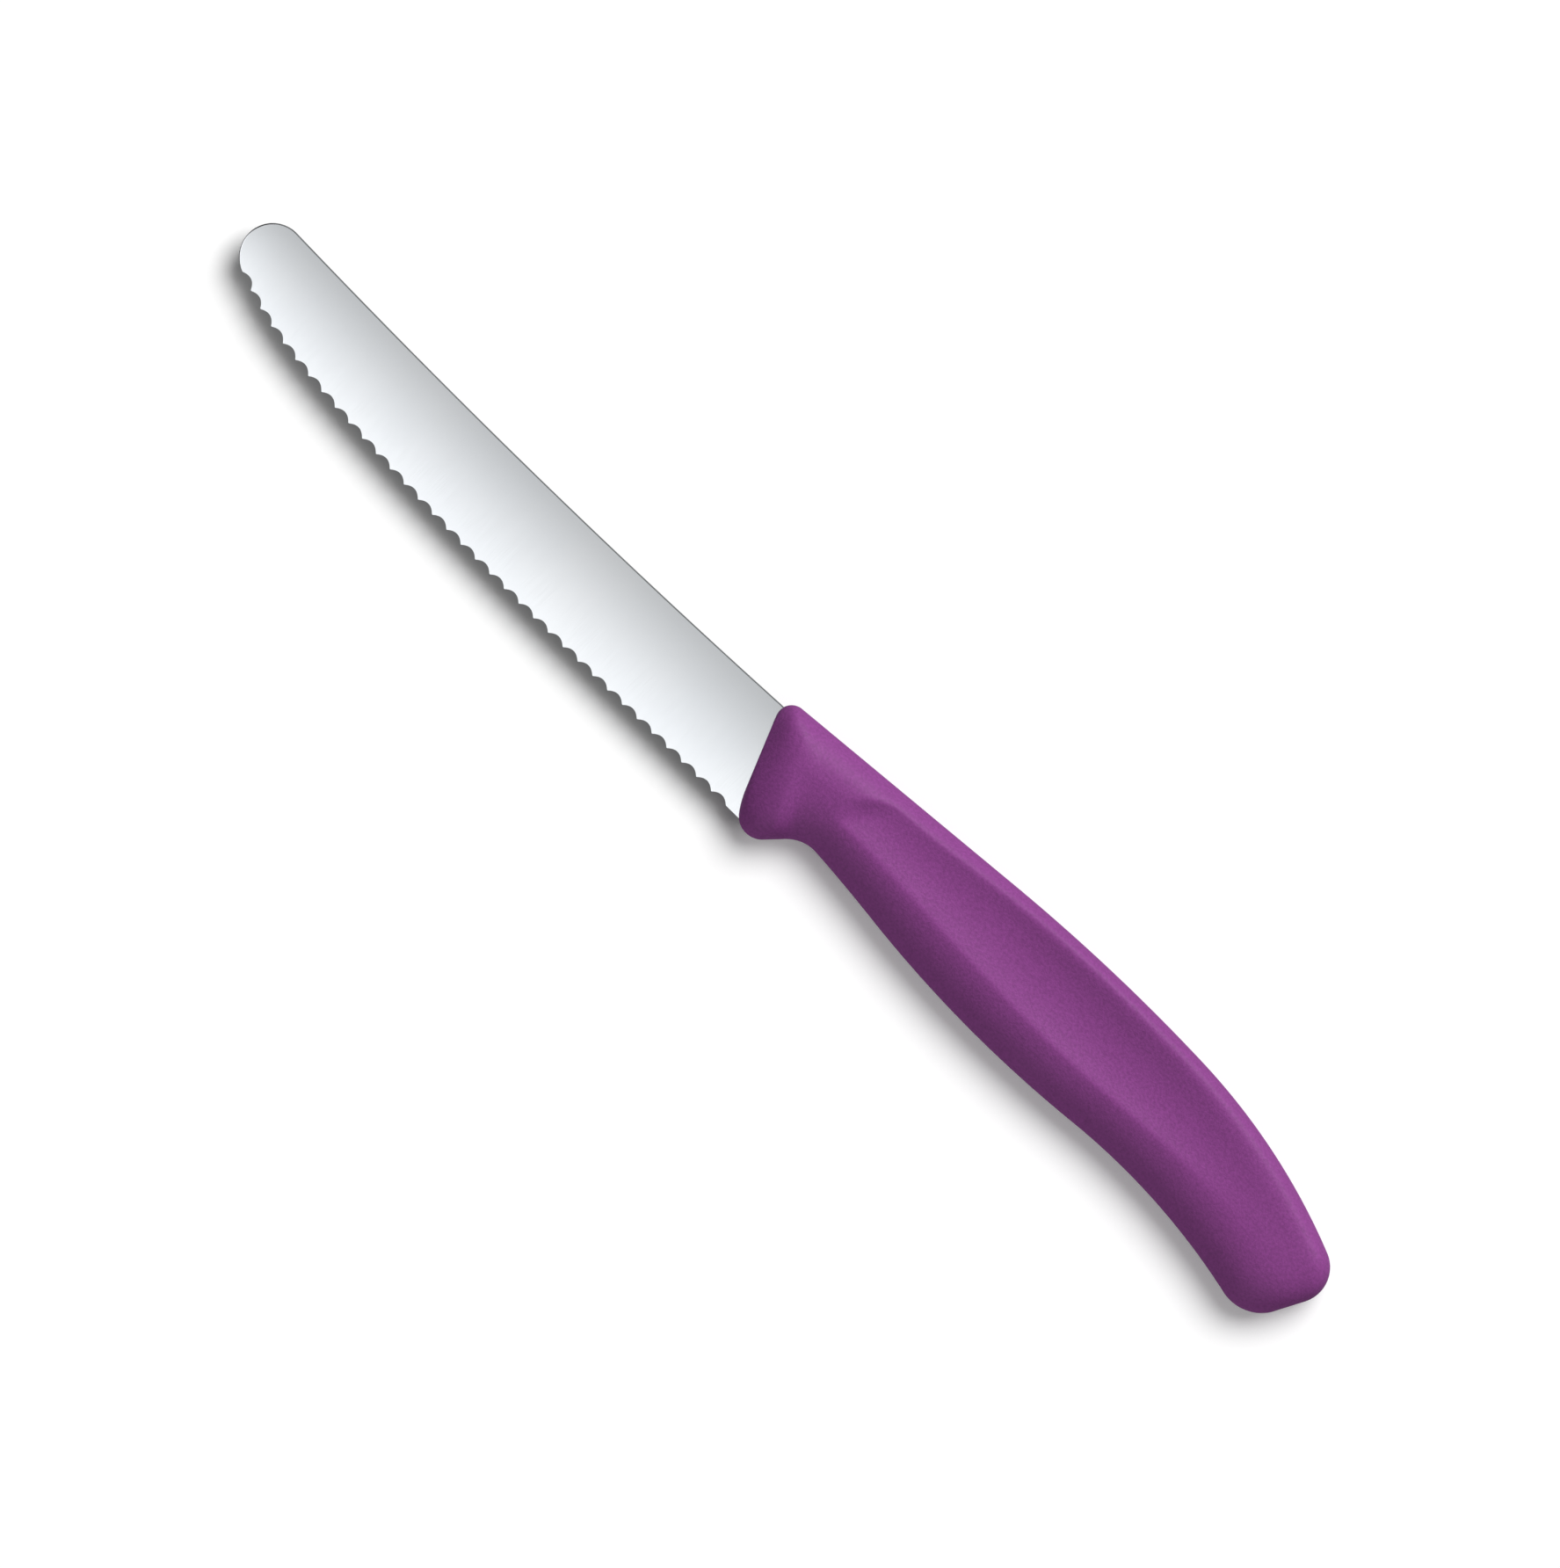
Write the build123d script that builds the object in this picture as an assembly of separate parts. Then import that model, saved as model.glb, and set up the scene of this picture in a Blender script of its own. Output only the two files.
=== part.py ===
from build123d import *
import os
from math import asin, atan, cos, hypot, pi, radians, sin, sqrt, tan

# Tomato knife lying on its side. While it is drawn, X runs from the front of the handle towards the
# tip, Y from the blade's spine towards its cutting edge, and Z out of the face that shows.
# Lengths are in millimetres, angles and turns in degrees.

# Blade: a thin plate whose two faces close towards the edge and towards the tip
blade_length = 106.5
blade_depth = 16.7
blade_thickness = 1.2
edge_thickness = 0.4
tip_thickness = 0.8
spine_sag = 0.95
tip_radius = 5.05
tip_lift = 0.05
tip_open_angle = 70.0

# Line through the edge's cusps: straight from the heel, then falling away, then curling up
edge_straight = 30.0
edge_drop = 4.2
edge_drop_power = 2
edge_curl_power = 10
edge_line_points = 12
pitch_corrections = 4

# Scallops, ground from the hidden face so that the shown face has only their outline
scallop_pitch = 3.1
scallop_depth = 0.77
scallop_count = 35
grind_radius = 6.2
grind_length = 10.0
cusp_wear = 0.04

# Tang, in one piece with the blade and hidden in the handle
heel_cover = 1.8
tang_neck = 11.0
tang_length = 62.0
tang_depth = 8.6
tang_end_depth = 6.4
tang_middle_drop = 4.6
tang_corner_radius = 1.5
tang_hole_diameter = 4.2
tang_hole_shares = (0.42, 0.80)

# Handle outline: a front line, and from its ends a spine line and a belly line back to the butt
handle_length = 118.5
front_tilt = 21.5
front_setback = 0.6
front_drop = 1.65
front_height = 12.05
nose_radius = 2.45
nose_turn = 107.0
guard_ease_radius = 15.0
guard_ease_turn = 14.0
guard_radius = 3.5
guard_turn = 100.0
guard_slope = 3.5
notch_radius = 5.8
notch_turn = 50.0
spine_run_shares = (0.350, 0.326, 0.290)
spine_run_turns = (0.0, 7.2, 19.9)
belly_run_shares = (0.108, 0.363, 0.290)
belly_run_turns = (-2.9, 12.4, -18.3)
butt_top_radius = 5.4
butt_top_turn = 99.0
butt_foot_radius = 6.8
butt_foot_turn = 70.0

# Handle thickness: a round body, thickest near its middle, that closes at the front and the butt.
# Its cross section has one form at the guard, one at the front of the grip and one at the tail.
body_thickness = 14.8
body_crown_share = 0.12
crown_middle_share = 0.46
guard_to_grip_shares = (0.049, 0.108)
grip_to_tail_shares = (0.211, 0.549)
apex_shares = (0.355, 0.418, 0.345)
spine_fullnesses = (2.4, 1.8, 4.2)
belly_fullnesses = (3.4, 1.3, 1.95)
nose_thickness = 5.4
nose_reach = 6.6
nose_fullness = 1.3
butt_reach = 7.0
butt_land_share = 0.12

# Each side flattens towards a soft thickness, and a plane cuts its two highest places into lands
side_soft_thickness = 12.3
side_rounding = 0.5
side_land_thickness = 12.0

# Finger hollow in each side: a trough with its own radii across, at its front and at its back.
# Its front wall leans with the guard and curls back where it nears the spine.
hollow_floor_thickness = 9.8
hollow_axis_shares = (0.235, 0.469)
hollow_axis_bow_share = 0.155
hollow_spine_radius = 14.6
hollow_belly_front_radius = 17.5
hollow_belly_back_radius = 6.5
hollow_front = 22.9
hollow_front_radius = 7.9
hollow_front_lean = 0.74
hollow_curl_drop = 5.0
hollow_curl_radius = 20.0
hollow_back = 74.3
hollow_back_radius = 255.0
crease_height = 0.6
front_crease_height = 1.4

# Ribs carry the handle's surface through five zones: nose, notch, grip, tail and butt
notch_rib_share = 0.153
grip_rib_share = 0.83
tail_rib_share = 0.86
zone_ribs = (10, 12, 24, 6, 8)
rib_points = 41
rim_share = 0.002
mesh_fineness = 0.02


def arc(radius, turn):
    """Stretch of an outline: an arc of this radius that turns by this much."""
    return radius * radians(abs(turn)), turn


def run_back(start, heading, stretches, distance):
    """Point reached after a distance along a chain of tangent stretches of (length, turn)."""
    x, y = start
    for length, turn in stretches:
        step = min(distance, length)
        bend = radians(turn) * step / length
        chord = step if bend == 0 else step * sin(bend / 2) / (bend / 2)
        x += chord * cos(radians(heading) + bend / 2)
        y += chord * sin(radians(heading) + bend / 2)
        heading += turn
        distance -= step
        if distance <= 0:
            break
    return x, y


def total(stretches):
    return sum(length for length, turn in stretches)


front_top = (-front_setback, front_drop)
front_foot = (
    front_top[0] - front_height * sin(radians(front_tilt)),
    front_top[1] + front_height * cos(radians(front_tilt)),
)
nose_arcs = [arc(nose_radius, -nose_turn)]
spine_runs = [(handle_length * share, -turn) for share, turn in zip(spine_run_shares, spine_run_turns)]
butt_top_arcs = [arc(butt_top_radius, -butt_top_turn)]
guard_arcs = [arc(guard_ease_radius, guard_ease_turn), arc(guard_radius, guard_turn)]
notch_arcs = [(guard_slope, 0.0), arc(notch_radius, -notch_turn)]
belly_runs = [(handle_length * share, turn) for share, turn in zip(belly_run_shares, belly_run_turns)]
butt_foot_arcs = [arc(butt_foot_radius, butt_foot_turn)]


def rib_marks():
    """Distances along the spine line and along the belly line where the five zones meet."""
    nose_end = total(nose_arcs)
    notch_end = total(guard_arcs) + total(notch_arcs)
    runs = total(spine_runs)
    return [
        (0.0, 0.0),
        (nose_end, total(guard_arcs)),
        (nose_end + notch_rib_share * runs, notch_end),
        (nose_end + grip_rib_share * runs, notch_end + tail_rib_share * total(belly_runs)),
        (nose_end + runs, notch_end + total(belly_runs)),
        (nose_end + runs + total(butt_top_arcs), notch_end + total(belly_runs + butt_foot_arcs)),
    ]


def rib_ends(zone, share):
    """Ends of the rib at this share of a zone: one on the spine line, one on the belly line."""
    (spine_a, belly_a), (spine_b, belly_b) = rib_marks()[zone : zone + 2]
    spine_line = nose_arcs + spine_runs + butt_top_arcs
    belly_line = guard_arcs + notch_arcs + belly_runs + butt_foot_arcs
    top = run_back(front_top, front_tilt - 90, spine_line, spine_a + share * (spine_b - spine_a))
    foot = run_back(front_foot, front_tilt + 90, belly_line, belly_a + share * (belly_b - belly_a))
    return top, foot


def ease(share, fullness):
    """Quarter of a superellipse: it rises square to its start and lies flat at its end."""
    share = min(max(share, 0.0), 1.0)
    return (1 - (1 - share) ** fullness) ** (1 / fullness)


def gap_to_line(point, start, end):
    """Distance of a point from the line through start and end, on the left of that line."""
    length = hypot(end[0] - start[0], end[1] - start[1])
    ahead = (end[0] - start[0]) / length, (end[1] - start[1]) / length
    return ahead[0] * (point[1] - start[1]) - ahead[1] * (point[0] - start[0])


def body_half(middle):
    """Half of the round body's thickness at the rib with this middle."""
    crown = (-middle[0] / handle_length - crown_middle_share) / crown_middle_share
    full = body_thickness / 2 * (1 - body_crown_share * crown ** 2)
    nose = nose_thickness / 2
    front_gap = gap_to_line(middle, front_top, front_foot)
    half = nose + (full - nose) * ease(front_gap / nose_reach, nose_fullness)
    butt_top, butt_foot = rib_ends(len(zone_ribs) - 1, 1.0)
    butt_gap = gap_to_line(middle, butt_foot, butt_top)
    return half * (butt_land_share + (1 - butt_land_share) * ease(butt_gap / butt_reach, 2))


def smooth_step(shares, share):
    """Goes from 0 to 1 between two shares, and starts and ends level."""
    start, end = shares
    step = min(max((share - start) / (end - start), 0.0), 1.0)
    return step ** 2 * (3 - 2 * step)


def by_zone(values, back_share):
    """Value of the guard, the grip's front or the tail, mixed where one goes over to the next."""
    guard, grip, tail = values
    grip += smooth_step(grip_to_tail_shares, back_share) * (tail - grip)
    return guard + smooth_step(guard_to_grip_shares, back_share) * (grip - guard)


def body_height(across_share, half, back_share):
    """Height of the round body at a share of the rib, counted from the spine line."""
    apex_share = by_zone(apex_shares, back_share)
    if across_share < apex_share:
        fall = (apex_share - across_share) / apex_share
        return half * sqrt(1 - fall ** by_zone(spine_fullnesses, back_share))
    fall = (across_share - apex_share) / (1 - apex_share)
    return half * sqrt(1 - min(fall, 1.0) ** by_zone(belly_fullnesses, back_share))


def hollow_axis(back_share):
    """Share of the rib at which the hollow is deepest: a line along the handle with a slight bow."""
    start, end = hollow_axis_shares
    return start + (end - start) * back_share + hollow_axis_bow_share * back_share * (1 - back_share)


def hollow_height(x, y, off_axis, back_share):
    """Height of the hollow: a parabola across the trough, and one more at each of its ends."""
    radius = hollow_spine_radius
    if off_axis > 0:
        radius = hollow_belly_front_radius
        radius += (hollow_belly_back_radius - hollow_belly_front_radius) * back_share
    curl = max(hollow_curl_drop - y, 0.0) ** 2 / (2 * hollow_curl_radius)
    back = hollow_front_lean * (y - front_drop) - x - curl
    height = hollow_floor_thickness / 2 + off_axis ** 2 / (2 * radius)
    height += max(hollow_front - back, 0.0) ** 2 / (2 * hollow_front_radius)
    return height + max(back - hollow_back, 0.0) ** 2 / (2 * hollow_back_radius)


def lower_of(first, second, rounding):
    """The lower of two heights, rounded over where they meet."""
    return (first + second - hypot(first - second, rounding)) / 2


def skin_point(top, foot, across_share):
    """Point of the handle's shown side: the lower of body and hollow, eased towards the side's land."""
    x = top[0] + across_share * (foot[0] - top[0])
    y = top[1] + across_share * (foot[1] - top[1])
    middle = ((top[0] + foot[0]) / 2, (top[1] + foot[1]) / 2)
    back_share = -middle[0] / handle_length
    half = body_half(middle)
    body = body_height(across_share, half, back_share)
    width = hypot(foot[0] - top[0], foot[1] - top[1])
    hollow = hollow_height(x, y, (across_share - hollow_axis(back_share)) * width, back_share)
    forward_share = 1 - smooth_step(grip_to_tail_shares, back_share)
    crease = crease_height + (front_crease_height - crease_height) * forward_share ** 2
    skin = lower_of(body, hollow, crease * body / half)
    return x, y, lower_of(skin, side_soft_thickness / 2, side_rounding * body / half)


def rib(zone, share):
    """Closed cross section: a spline over the shown side and its mirror under the hidden side."""
    top, foot = rib_ends(zone, share)
    turns = [index / (rib_points - 1) for index in range(rib_points)]
    skin = [skin_point(top, foot, (1 - cos(pi * turn)) / 2) for turn in turns[1:-1]]
    near_rim = (1 - cos(pi * rim_share)) / 2
    rise = skin_point(top, foot, near_rim)[2] / rim_share
    fall = skin_point(top, foot, 1 - near_rim)[2] / rim_share
    over = [(*top, 0.0), *skin, (*foot, 0.0)]
    under = [(x, y, -z) for x, y, z in reversed(over)]
    up, down = (0, 0, rise), (0, 0, -fall)
    return Wire([
        Edge.make_spline(over, tangents=[up, down], parameters=turns, scale=False),
        Edge.make_spline(under, tangents=[down, up], parameters=turns, scale=False),
    ])


def make_handle_body():
    """Outer form of the handle, with a flat land on each side for it to lie on."""
    ribs = []
    for zone, count in enumerate(zone_ribs):
        ribs += [rib(zone, index / count) for index in range(count)]
    ribs.append(rib(len(zone_ribs) - 1, 1.0))
    slab = Box(3 * handle_length, 3 * handle_length, side_land_thickness)
    return Solid.make_loft(ribs) & slab


tip_centre = (blade_length - tip_radius, tip_radius - tip_lift)
edge_end = (
    tip_centre[0] + tip_radius * cos(radians(tip_open_angle)),
    tip_centre[1] + tip_radius * sin(radians(tip_open_angle)),
)
heel_x = front_top[0] - (blade_depth - front_drop) * tan(radians(front_tilt)) - heel_cover
tip_fall = (blade_thickness - tip_thickness) / 2 / blade_length
edge_fall = (blade_thickness - edge_thickness) / 2 / blade_depth


def edge_point(x):
    """Point of the line through the edge's cusps."""
    share = max(x - edge_straight, 0.0) / (edge_end[0] - edge_straight)
    edge_curl = blade_depth - edge_drop - edge_end[1]
    return x, blade_depth - edge_drop * share ** edge_drop_power - edge_curl * share ** edge_curl_power


def cusp_points():
    """Cusps one pitch apart, from the tip back to the heel."""
    cusps = [edge_end]
    for index in range(scallop_count):
        x, y = cusps[-1]
        reach = scallop_pitch
        for correction in range(pitch_corrections):
            reach *= scallop_pitch / hypot(reach, y - edge_point(x - reach)[1])
        cusps.append(edge_point(x - reach))
    return cusps


def blank_outline():
    """Flat outline of the blank: spine, round tip, worn cusp line, heel and tang."""
    tip_top = (tip_centre[0], tip_centre[1] - tip_radius)
    tip_front = (blade_length, tip_centre[1])
    curve_length = edge_end[0] - edge_straight
    steps = [(index / edge_line_points) ** 2 for index in range(1, edge_line_points + 1)]
    edge_line = [edge_point(edge_end[0] - curve_length * step) for step in steps]
    worn_line = [(x, y - cusp_wear) for x, y in edge_line]
    heel = (heel_x, blade_depth - cusp_wear)
    tang_top = tang_middle_drop - tang_depth / 2
    tang_foot = tang_middle_drop + tang_depth / 2
    tang_end_top = tang_middle_drop - tang_end_depth / 2
    tang_end_foot = tang_middle_drop + tang_end_depth / 2
    outline = Wire([
        *Edge.make_three_point_arc((0, 0), (tip_centre[0] / 2, spine_sag), tip_top).edges(),
        *Edge.make_three_point_arc(tip_top, tip_front, edge_end).edges(),
        *Edge.make_spline([edge_end, *worn_line]).edges(),
        *Wire.make_polygon([
            worn_line[-1],
            heel,
            (-tang_neck, tang_foot),
            (-tang_length, tang_end_foot),
            (-tang_length, tang_end_top),
            (-tang_neck, tang_top),
            (0, 0),
        ], close=False).edges(),
    ])
    return Face(outline)


def face_height(x, y):
    """Height of the shown face: a plane that falls towards the tip and towards the edge."""
    return blade_thickness / 2 - tip_fall * x - edge_fall * y


def make_grind(cusp, next_cusp):
    """Grinding wheel's path for one scallop: a cylinder that dips into the hidden face."""
    chord = hypot(cusp[0] - next_cusp[0], cusp[1] - next_cusp[1])
    out_x = (next_cusp[1] - cusp[1]) / chord
    out_y = (cusp[0] - next_cusp[0]) / chord
    middle = ((cusp[0] + next_cusp[0]) / 2, (cusp[1] + next_cusp[1]) / 2)
    root_x = middle[0] - scallop_depth * out_x
    root_y = middle[1] - scallop_depth * out_y
    bow = grind_radius - sqrt(grind_radius ** 2 - (chord / 2) ** 2)
    face_slope = (face_height(*middle) - face_height(root_x, root_y)) / scallop_depth
    tilt = asin(bow / scallop_depth) + atan(face_slope)
    centre = (
        root_x + grind_radius * sin(tilt) * out_x,
        root_y + grind_radius * sin(tilt) * out_y,
        face_height(root_x, root_y) - grind_radius * cos(tilt),
    )
    along = (cos(tilt) * out_x, cos(tilt) * out_y, sin(tilt))
    return Plane(origin=centre, z_dir=along) * Cylinder(grind_radius, grind_length)


def make_blank():
    """Blade and tang before grinding: a flat plate with tapered faces and two tang holes."""
    outline = blank_outline()
    tang_corners = outline.vertices().filter_by(lambda corner: corner.X < heel_x)
    outline = fillet(tang_corners, tang_corner_radius)
    blank = extrude(outline, blade_thickness / 2, dir=(0, 0, 1), both=True)
    shown_face = Plane(origin=(0, 0, face_height(0, 0)), z_dir=(tip_fall, edge_fall, 1))
    hidden_face = Plane(origin=(0, 0, -face_height(0, 0)), z_dir=(tip_fall, edge_fall, -1))
    blank = split(blank, bisect_by=shown_face, keep=Keep.BOTTOM)
    blank = split(blank, bisect_by=hidden_face, keep=Keep.BOTTOM)
    hole = Cylinder(tang_hole_diameter / 2, 2 * blade_thickness)
    return blank - [Pos(-share * tang_length, tang_middle_drop, 0) * hole for share in tang_hole_shares]


def make_blade(blank):
    """Finished blade: the blank with its scallops ground one after the other."""
    cusps = cusp_points()
    for cusp, next_cusp in zip(cusps, cusps[1:]):
        blank -= make_grind(cusp, next_cusp)
    return blank


def make_handle(blank):
    """Handle moulded round the tang: its plastic also fills the tang's holes."""
    return make_handle_body() - blank


def seat(pieces):
    """Move the pieces so that the origin is under the middle of the lying knife."""
    corners = []
    for piece in pieces.values():
        corners += piece.tessellate(mesh_fineness)[0]
    xs = [corner.X for corner in corners]
    ys = [corner.Y for corner in corners]
    zs = [corner.Z for corner in corners]
    shift = Pos(-(min(xs) + max(xs)) / 2, -(min(ys) + max(ys)) / 2, -min(zs))
    print("shift", shift.position, "size", max(xs) - min(xs), max(ys) - min(ys), max(zs) - min(zs))
    return {name: shift * piece for name, piece in pieces.items()}


blank = make_blank()
knife = seat({"blade": make_blade(blank), "handle": make_handle(blank)})
os.makedirs("parts", exist_ok=True)
for name, piece in knife.items():
    export_step(piece, f"parts/{name}.step")
    print(name, "volume", round(piece.volume, 1), "valid", piece.is_valid)
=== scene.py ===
# %% [markdown]
# # A tomato knife, from measured solids to a finished picture
# The knife is two pieces: one strip of steel that is blade and tang at once, and a plastic handle that
# was moulded round the tang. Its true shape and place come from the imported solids. This lesson dresses
# them: it works both surfaces out again as fine grids of numbers, gives them their finish, and lights
# them as a product picture is lit.

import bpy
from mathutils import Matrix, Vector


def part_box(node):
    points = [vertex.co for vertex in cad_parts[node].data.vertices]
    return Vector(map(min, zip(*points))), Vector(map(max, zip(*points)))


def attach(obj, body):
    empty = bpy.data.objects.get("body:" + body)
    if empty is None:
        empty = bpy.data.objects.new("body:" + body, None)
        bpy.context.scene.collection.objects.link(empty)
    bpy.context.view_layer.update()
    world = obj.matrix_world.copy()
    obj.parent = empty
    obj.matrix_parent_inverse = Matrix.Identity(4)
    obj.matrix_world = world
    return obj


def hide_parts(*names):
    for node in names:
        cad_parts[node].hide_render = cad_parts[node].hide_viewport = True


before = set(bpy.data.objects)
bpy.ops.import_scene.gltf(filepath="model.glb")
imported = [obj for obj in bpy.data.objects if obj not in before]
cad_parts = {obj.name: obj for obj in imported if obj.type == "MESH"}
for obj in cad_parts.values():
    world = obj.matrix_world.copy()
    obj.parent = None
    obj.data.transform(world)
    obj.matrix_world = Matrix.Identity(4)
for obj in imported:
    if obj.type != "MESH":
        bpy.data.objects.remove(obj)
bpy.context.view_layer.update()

import bpy
import numpy as np

MM = 0.001

# %% [markdown]
# ## Where the knife lies
# The shapes are worked out in millimetres, on a drawing whose zero point is at the front of the handle
# on the blade's spine: X runs to the tip, Y to the cutting edge, Z out of the face that shows. The
# solids' boxes say how far that drawing is moved to lie in the scene. Reading it from them is safer than
# typing it, because the pieces then follow the solids if they ever move.

# %% Place of the drawing in the scene
BLADE_LENGTH = 106.5
TIP_LIFT = 0.05

blade_low, blade_high = (np.array(corner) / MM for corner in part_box("blade"))
drawing_shift = np.array([
    blade_high[0] - BLADE_LENGTH,
    blade_low[1] + TIP_LIFT,
    (blade_low[2] + blade_high[2]) / 2,
])
print("drawing shift, mm", drawing_shift.round(3))


# %% [markdown]
# ## Turning a grid of points into a mesh
# Both pieces are closed skins. Each is a grid of points: one index walks round the piece, the other
# walks across it. A grid becomes faces by joining each point to its neighbours, so no face is placed by
# hand. Points that fall on each other, where a row shrinks to a line, are merged, which closes the skin.

# %% Grid to mesh
MERGE_DISTANCE = 1e-7


def grid_faces(rows, columns, around):
    """Four corners per face: a point, its neighbour in the row, and the same two in the next row.

    With around set, the last point of each row is also joined to the first.
    """
    steps = columns if around else columns - 1
    row, column = np.meshgrid(np.arange(rows - 1), np.arange(steps), indexing="ij")
    beside = (column + 1) % columns
    corners = [row * columns + column, row * columns + beside]
    corners += [(row + 1) * columns + beside, (row + 1) * columns + column]
    return np.stack(corners, axis=-1).reshape(-1, 4)


def enclosed_volume(points, faces):
    """Sum over triangles of corner . (corner x corner) / 6: above zero when the faces point outwards."""
    a, b, c, d = (points[faces[:, corner]] for corner in range(4))
    return (np.einsum("ij,ij->i", a, np.cross(b, c)) + np.einsum("ij,ij->i", a, np.cross(c, d))).sum() / 6


def merged(points, faces):
    """Points that share a place become one, and the faces are renumbered to follow them."""
    keys = np.round(points / (MERGE_DISTANCE / MM)).astype(np.int64)
    unique, first, new_index = np.unique(keys, axis=0, return_index=True, return_inverse=True)
    faces = new_index.reshape(-1)[faces]
    return points[first], faces


def make_piece(name, grid, around=True):
    """Object from a grid of drawing points in millimetres, smooth, closed and facing outwards."""
    rows, columns, _ = grid.shape
    points, faces = merged(grid.reshape(-1, 3), grid_faces(rows, columns, around))
    if enclosed_volume(points, faces) < 0:
        faces = faces[:, ::-1]
    polygons = []
    for count in (4, 3):
        same = (faces == np.roll(faces, 1, axis=1)).sum(axis=1)
        chosen = faces[same == 4 - count]
        if count == 3:
            keep = chosen != np.roll(chosen, 1, axis=1)
            chosen = chosen[keep].reshape(-1, 3)
        polygons += chosen.tolist()
    mesh = bpy.data.meshes.new(name)
    mesh.from_pydata(((points + drawing_shift) * MM).tolist(), [], polygons)
    mesh.polygons.foreach_set("use_smooth", np.ones(len(mesh.polygons), bool))
    mesh.update()
    piece = bpy.data.objects.new(name, mesh)
    bpy.context.scene.collection.objects.link(piece)
    print(name, "points", len(points), "faces", len(polygons))
    return piece


# %% [markdown]
# ## The handle's outline
# Seen from its side, the handle is a front line with two long lines running back from it: the spine
# line, which is almost straight and then bends down to the butt, and the belly line, which dips into a
# guard that keeps the hand off the blade, goes round a notch for the finger and swells for the palm.
# A mould maker draws such lines as arcs that touch without a corner, so a line is stored as a chain of
# stretches: how long each is and by how much it turns.

# %% Outline of the handle
HANDLE_LENGTH = 118.5
FRONT_TILT = 21.5
FRONT_HEIGHT = 12.05
FRONT_TOP = np.array([-0.6, 1.65])
SPINE_STRETCHES = [
    (2.45, -107.0),
    (None, 0.0, 0.350), (None, -7.2, 0.326), (None, -19.9, 0.290),
    (5.4, -99.0),
]
BELLY_STRETCHES = [
    (15.0, 14.0), (3.5, 100.0),
    (None, 0.0, 3.5 / 118.5), (5.8, -50.0),
    (None, -2.9, 0.108), (None, 12.4, 0.363), (None, -18.3, 0.290),
    (6.8, 70.0),
]


def chain(stretches):
    """Lengths and turns, in radians: an arc is given by its radius, a long run by its share of the handle."""
    lengths, turns = [], []
    for radius, turn, *share in stretches:
        lengths.append(HANDLE_LENGTH * share[0] if share else radius * np.radians(abs(turn)))
        turns.append(np.radians(turn))
    return np.array(lengths), np.array(turns)


def walk(start, heading, lengths, turns, distances):
    """Points at these distances along the chain.

    Each stretch adds one straight step from its start to its end, or to the point reached on it: the
    step is the arc's chord, which is the arc's length times sin(half turn) / (half turn).
    """
    points = np.repeat(start[None], len(distances), axis=0)
    left = np.array(distances, float)
    for length, turn in zip(lengths, turns):
        step = np.clip(left, 0, length)
        bend = turn * step / length
        chord = step * np.sinc(bend / 2 / np.pi)
        points += chord[:, None] * np.stack([np.cos(heading + bend / 2), np.sin(heading + bend / 2)], axis=1)
        heading += turn
        left = left - step
    return points


front_along = np.array([-np.sin(np.radians(FRONT_TILT)), np.cos(np.radians(FRONT_TILT))])
FRONT_FOOT = FRONT_TOP + FRONT_HEIGHT * front_along
spine_lengths, spine_turns = chain(SPINE_STRETCHES)
belly_lengths, belly_turns = chain(BELLY_STRETCHES)
print("spine line", round(spine_lengths.sum(), 1), "mm, belly line", round(belly_lengths.sum(), 1), "mm")

# %% [markdown]
# ## Pairing the two lines
# The skin is carried by ribs that run straight across, from the spine line to the belly line. Where the
# belly dives round the guard, its line is longer than the spine line, so the ribs have to fan out. The
# pairs below say which distances belong together. A smooth curve through them, that never turns back,
# keeps the skin free of a visible seam where one zone meets the next.

# %% Ribs that fan smoothly
RIB_COUNT = 400
NOTCH_RIB_SHARE = 0.153
GRIP_RIB_SHARE = 0.83
TAIL_RIB_SHARE = 0.86
NOSE_CROWDING = 1.6


def smooth_curve(marks_x, marks_y, x):
    """Cubic through the marks, with slopes that are the harmonic mean of the two slopes beside each."""
    gaps = np.diff(marks_x)
    slopes = np.diff(marks_y) / gaps
    tangents = np.concatenate([slopes[:1], 2 / (1 / slopes[1:] + 1 / slopes[:-1]), slopes[-1:]])
    span = np.clip(np.searchsorted(marks_x, x, side="right") - 1, 0, len(gaps) - 1)
    t = (x - marks_x[span]) / gaps[span]
    start, end = marks_y[span], marks_y[span + 1]
    rise, fall = tangents[span] * gaps[span], tangents[span + 1] * gaps[span]
    return (
        start * (2 * t ** 3 - 3 * t ** 2 + 1) + rise * (t ** 3 - 2 * t ** 2 + t)
        + end * (3 * t ** 2 - 2 * t ** 3) + fall * (t ** 3 - t ** 2)
    )


nose_end, runs = spine_lengths[0], spine_lengths[1:4].sum()
guard_end, notch_end, belly_runs = belly_lengths[:2].sum(), belly_lengths[:4].sum(), belly_lengths[4:7].sum()
spine_marks = np.array([
    0, nose_end, nose_end + NOTCH_RIB_SHARE * runs, nose_end + GRIP_RIB_SHARE * runs,
    nose_end + runs, spine_lengths.sum(),
])
belly_marks = np.array([
    0, guard_end, notch_end, notch_end + TAIL_RIB_SHARE * belly_runs,
    notch_end + belly_runs, belly_lengths.sum(),
])
even = np.linspace(0, 1, RIB_COUNT)
crowded = (even ** NOSE_CROWDING + 1 - (1 - even) ** NOSE_CROWDING) / 2
spine_distances = spine_marks[-1] * crowded
belly_distances = smooth_curve(spine_marks, belly_marks, spine_distances)
rib_tops = walk(FRONT_TOP, np.radians(FRONT_TILT - 90), spine_lengths, spine_turns, spine_distances)
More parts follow.
